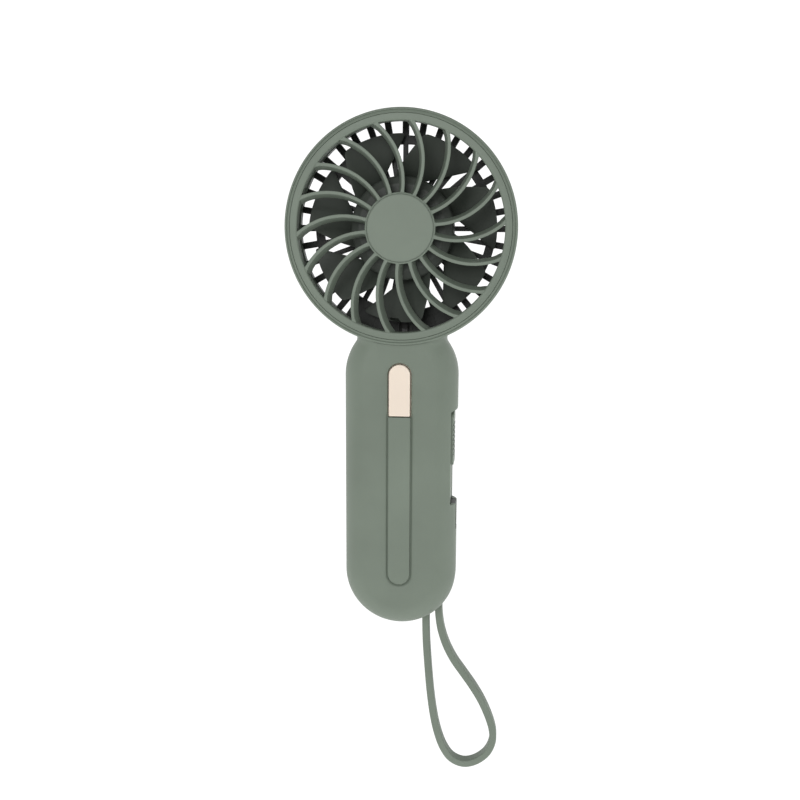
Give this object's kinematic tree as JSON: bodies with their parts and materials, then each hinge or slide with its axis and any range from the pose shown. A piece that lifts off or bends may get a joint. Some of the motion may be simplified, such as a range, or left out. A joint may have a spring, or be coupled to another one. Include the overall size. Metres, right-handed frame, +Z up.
{
  "type": "handheld electric fan",
  "caption": "Slim handheld electric fan: round ducted head with swept front ribs, flat rounded handle, press button, side slider, charging port and hanging wrist strap.",
  "frame": {"origin": "on the handle's long axis, at half its thickness, 60 mm above its lowest point, where the hand holds it", "axes": "+Z up the handle towards the head, -Y the front that the air leaves from and that carries the button, +X the side with the slider and the port"},
  "size_m": [0.09, 0.0235, 0.2752],
  "materials": {
    "green_plastic": "fine matte moulded finish",
    "cream_plastic": "smooth satin",
    "dark_green_plastic": "matte moulded finish",
    "black_plastic": "matte moulded finish",
    "white_plastic": "plain moulded finish",
    "steel": "bright turned or pressed steel",
    "magnet": "dull grey coated magnet",
    "brass": "turned brass",
    "copper": "enamelled copper wire",
    "circuit_board": "glass fibre board with green solder mask",
    "wire_jacket": "smooth soft insulation",
    "black_wire": "smooth soft insulation",
    "black_steel": "black coated steel",
    "cell_foil": "silver laminated foil",
    "foam": "closed-cell foam",
    "strap_rubber": "soft matte rubber"
  },
  "bodies": {
    "housing": {"front_shell": "green_plastic", "rear_shell": "green_plastic", "front_grille": "green_plastic", "hub_badge": "green_plastic", "rear_grille": "black_plastic", "front_bearing": "steel", "rear_bearing": "steel", "bearing_tube": "brass", "stator_core": "steel", "stator_windings": "copper", "motor_board": "circuit_board", "motor_screws": "black_steel", "motor_leads": "black_wire", "battery_cell": "cell_foil", "battery_pad": "foam", "battery_leads": "wire_jacket", "main_board": "circuit_board", "board_parts": "black_plastic", "board_screws": "steel", "usb_socket": "steel", "usb_tongue": "black_plastic", "port_bezel": "black_plastic", "tact_switch": "black_plastic", "front_strip": "green_plastic", "side_panel": "green_plastic", "slide_switch": "black_plastic", "shell_screws": "black_steel", "strap_pin": "steel", "wrist_strap": "strap_rubber"},
    "rotor": {"impeller": "dark_green_plastic", "rotor_cup": "steel", "magnet_ring": "magnet", "motor_shaft": "steel", "shaft_clip": "steel"},
    "button": {"front_button": "cream_plastic", "switch_plunger": "black_plastic"},
    "slider": {"side_slider": "green_plastic", "switch_lever": "white_plastic"}
  },
  "joints": [
    {"name": "impeller_spin", "type": "hinge", "parent": "housing", "child": "rotor", "pos_m": [0, 0, 0.1025], "axis": [0, 1, 0], "continuous": true},
    {"name": "button_press", "type": "slide", "parent": "housing", "child": "button", "axis": [0, 1, 0], "range_m": [0, 0.0005], "stiffness_N_per_m": 600},
    {"name": "slider_slide", "type": "slide", "parent": "housing", "child": "slider", "axis": [0, 0, -1], "range_m": [0, 0.012]}
  ]
}
